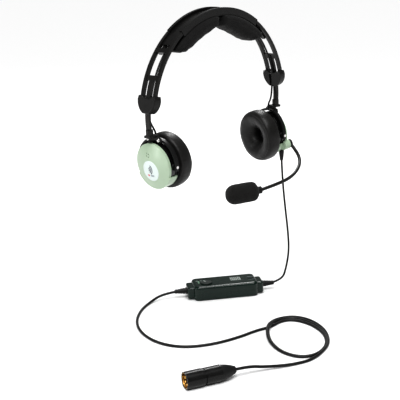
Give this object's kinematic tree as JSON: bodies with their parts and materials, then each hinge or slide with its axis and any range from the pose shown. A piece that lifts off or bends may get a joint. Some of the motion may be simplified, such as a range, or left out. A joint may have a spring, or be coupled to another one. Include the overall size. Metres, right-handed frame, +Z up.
{
  "type": "aviation headset",
  "caption": "Light on-ear aviation headset with a slim double-rail headband, swivelling cups, a boom microphone, an in-line control module and a round cord plug.",
  "frame": {"origin": "middle of the ear axis, halfway between the two ear cups' tilt pivots, where the wearer's head is", "axes": "+X towards the wearer's left ear (the boom side), +Y towards the back of the head, +Z up"},
  "size_m": [0.295, 0.2491, 0.352],
  "materials": {
    "dark_rail": "satin black moulded nylon",
    "black_plastic": "semi-matt black moulded plastic",
    "strap_steel": "black-coated spring steel strap",
    "bright_steel": "bright plated steel",
    "lead_rubber": "satin black cord jacket",
    "head_pad_fabric": "matt black padded fabric",
    "ear_pad_leather": "soft black leatherette with a low sheen",
    "gloss_shell": "glossy black plastic",
    "sage_cover": "satin pale sage-green plastic",
    "baffle_plastic": "matt black plastic",
    "speaker_metal": "grey painted metal",
    "circuit_board": "green solder mask",
    "gooseneck_rubber": "satin black sleeve over a bendable core",
    "foam": "open-cell black foam",
    "module_plastic": "glossy green-black plastic",
    "dial_plastic": "matt dark grey plastic",
    "lens": "clear tinted lens",
    "plug_body": "satin black",
    "gold_metal": "gold-coloured metal"
  },
  "bodies": {
    "headband": {"crown_frame": "dark_rail", "pad_carrier": "black_plastic", "crossover_lead": "lead_rubber", "arm_right": "dark_rail", "arm_left": "dark_rail", "head_cushion_right": "head_pad_fabric", "head_cushion_left": "head_pad_fabric", "yoke_right": "black_plastic", "yoke_left": "black_plastic"},
    "slider_right": {"slider_strap_right": "strap_steel", "lead_tail_right": "lead_rubber"},
    "swivel_right": {"swivel_bracket_right": "black_plastic", "bracket_screws_right": "bright_steel", "stirrup_right": "black_plastic", "pivot_pins_right": "bright_steel"},
    "cup_right": {"cup_shell_right": "gloss_shell", "outer_cover_right": "sage_cover", "speaker_baffle_right": "baffle_plastic", "speaker_driver_right": "speaker_metal", "noise_board_right": "circuit_board", "ear_cushion_right": "ear_pad_leather"},
    "slider_left": {"slider_strap_left": "strap_steel", "lead_tail_left": "lead_rubber"},
    "swivel_left": {"swivel_bracket_left": "black_plastic", "bracket_screws_left": "bright_steel", "stirrup_left": "black_plastic", "pivot_pins_left": "bright_steel"},
    "cup_left": {"cup_shell_left": "gloss_shell", "outer_cover_left": "sage_cover", "speaker_baffle_left": "baffle_plastic", "speaker_driver_left": "speaker_metal", "noise_board_left": "circuit_board", "ear_cushion_left": "ear_pad_leather", "cord_gland": "lead_rubber", "module_top": "module_plastic", "module_bottom": "module_plastic", "module_screws": "bright_steel", "module_board": "circuit_board", "led_lenses": "lens", "relief_upper": "lead_rubber", "relief_lower": "lead_rubber", "plug_boot": "lead_rubber", "plug_sleeve": "plug_body", "plug_shell": "plug_body", "plug_lining": "gold_metal", "plug_insert": "baffle_plastic", "plug_contacts": "gold_metal", "cord_upper": "lead_rubber", "cord_lower_a": "lead_rubber", "cord_coil": "lead_rubber", "cord_lower_b": "lead_rubber"},
    "boom": {"boom_pivot": "black_plastic", "gooseneck": "gooseneck_rubber", "mic_collar": "black_plastic", "mic_capsule": "speaker_metal", "windscreen": "foam"},
    "volume_dial": {"volume_dial": "dial_plastic"},
    "power_button": {"power_button": "dial_plastic"}
  },
  "joints": [
    {"name": "left_slide", "type": "hinge", "parent": "headband", "child": "slider_left", "pos_m": [0, 0, 0.048], "axis": [0, 1, 0], "range_deg": [-7, 8]},
    {"name": "right_slide", "type": "hinge", "parent": "headband", "child": "slider_right", "pos_m": [0, 0, 0.048], "axis": [0, -1, 0], "range_deg": [-7, 8]},
    {"name": "left_swivel", "type": "hinge", "parent": "slider_left", "child": "swivel_left", "pos_m": [0.105, 0, 0.033], "axis": [0, 0, -1], "range_deg": [-27, 3]},
    {"name": "right_swivel", "type": "hinge", "parent": "slider_right", "child": "swivel_right", "pos_m": [-0.105, 0, 0.033], "axis": [0, 0, 1], "range_deg": [-15, 15]},
    {"name": "left_tilt", "type": "hinge", "parent": "swivel_left", "child": "cup_left", "pos_m": [0.09522, 0.00208, 0], "axis": [-0.2079, -0.9781, 0], "range_deg": [-15, 3]},
    {"name": "right_tilt", "type": "hinge", "parent": "swivel_right", "child": "cup_right", "pos_m": [-0.095, 0, 0], "axis": [0, 1, 0], "range_deg": [-3, 15]},
    {"name": "boom_swing", "type": "hinge", "parent": "cup_left", "child": "boom", "pos_m": [0.10097, -0.02163, -0.01244], "axis": [-0.9728, 0.2068, -0.1045], "range_deg": [-5, 100]},
    {"name": "volume_turn", "type": "hinge", "parent": "cup_left", "child": "volume_dial", "pos_m": [0.00856, 0.03412, -0.177], "axis": [0, 0, 1], "range_deg": [-135, 135]},
    {"name": "power_press", "type": "slide", "parent": "cup_left", "child": "power_button", "axis": [0, 0, -1], "range_m": [0, 0.0005], "stiffness_N_per_m": 1500, "springref_m": -0.0004}
  ]
}
